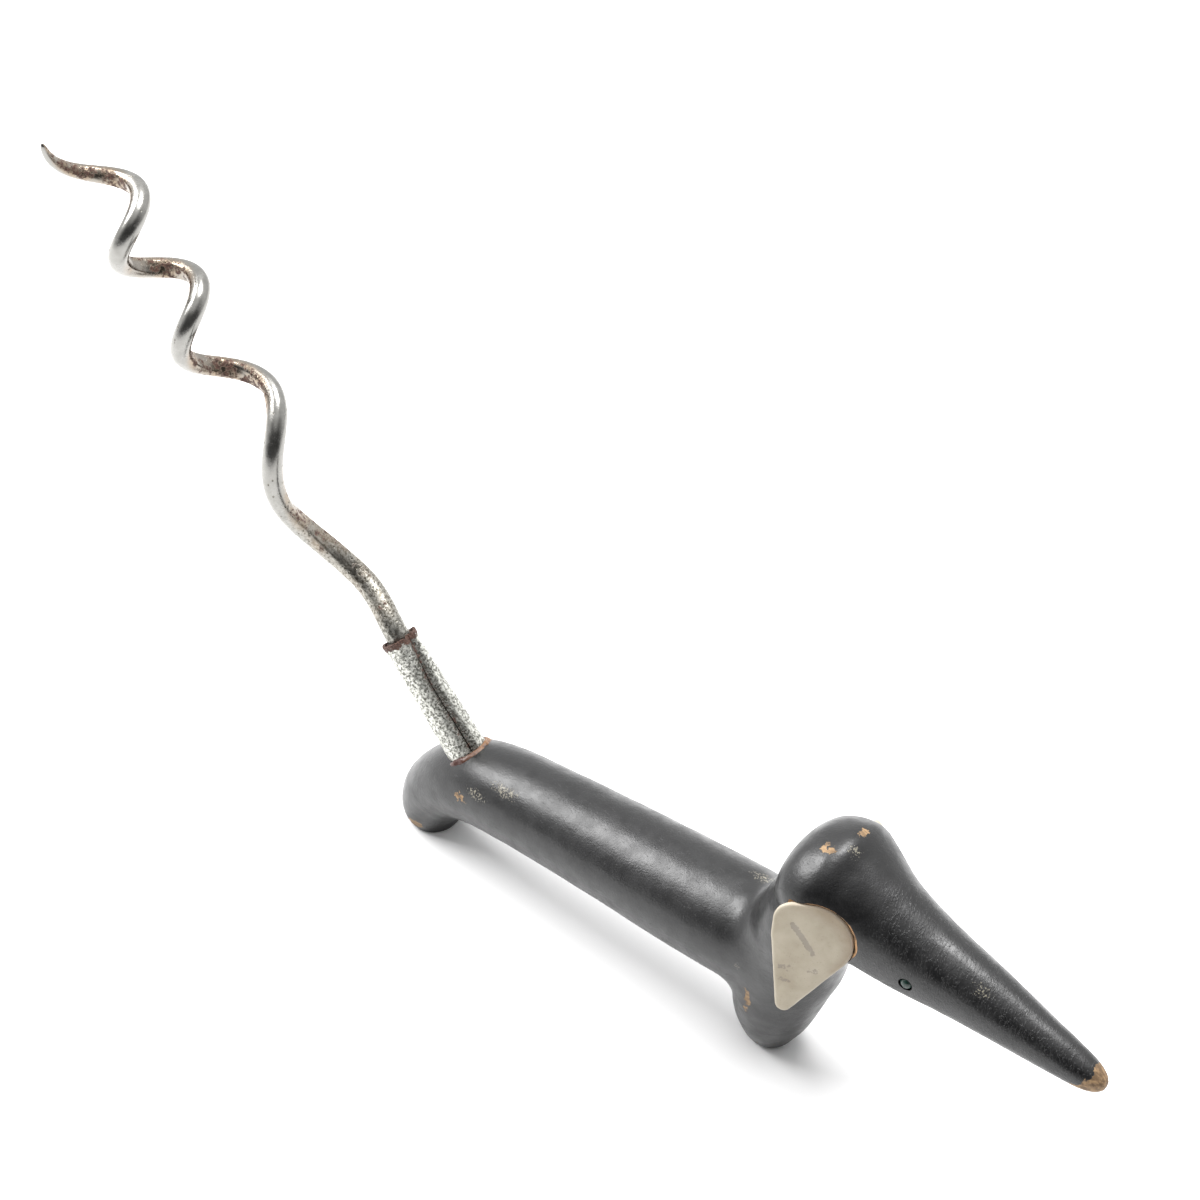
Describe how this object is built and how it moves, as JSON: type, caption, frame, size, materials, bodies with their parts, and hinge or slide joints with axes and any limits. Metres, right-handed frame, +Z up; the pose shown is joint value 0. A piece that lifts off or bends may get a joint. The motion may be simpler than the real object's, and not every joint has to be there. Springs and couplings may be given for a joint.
{
  "type": "figural corkscrew",
  "caption": "Hand corkscrew carved as a sausage dog, with a steel worm for a tail, a rolled ferrule, leather ears and glass bead eyes.",
  "frame": {"origin": "on the surface the dog stands on, under the middle of the whole length, between the feet and the tail's end", "axes": "+X from tail to nose, +Z up, +Y to the dog's left"},
  "size_m": [0.1442, 0.0214, 0.0796],
  "materials": {
    "lacquered_wood": "black satin lacquer on carved wood, worn through to tan wood at the nose, feet and haunch",
    "worm_steel": "bright worn steel wire with brown rust on the inner side of the turns",
    "ferrule_plating": "grey pitted plating on rolled sheet",
    "rust_filler": "dark red-brown rust and cement, matt",
    "amber_glue": "old amber glue with wood chips",
    "ear_leather": "undyed grey-beige leather, scuffed, cut edges tan",
    "eye_glass": "dark green glass bead, glossy",
    "pin_steel": "plain drawn wire"
  },
  "bodies": {
    "dog": {"body": "lacquered_wood", "worm": "worm_steel", "ferrule": "ferrule_plating", "ferrule_filler": "rust_filler", "socket_glue": "amber_glue", "ear_root_right": "ear_leather", "ear_root_left": "ear_leather", "eye_right": "eye_glass", "eye_left": "eye_glass", "eye_pin_right": "pin_steel", "eye_pin_left": "pin_steel"},
    "ear_right": {"ear_flap_right": "ear_leather"},
    "ear_left": {"ear_flap_left": "ear_leather"}
  },
  "joints": [
    {"name": "ear_right_bend", "type": "hinge", "parent": "dog", "child": "ear_right", "pos_m": [0.0389, -0.00767, 0.02976], "axis": [-0.8585, -0.3034, 0.4134], "range_deg": [0, 35], "stiffness_Nm_per_rad": 0.0002},
    {"name": "ear_left_bend", "type": "hinge", "parent": "dog", "child": "ear_left", "pos_m": [0.0389, 0.00767, 0.02976], "axis": [0.8585, -0.3034, -0.4134], "range_deg": [0, 35], "stiffness_Nm_per_rad": 0.0002}
  ]
}
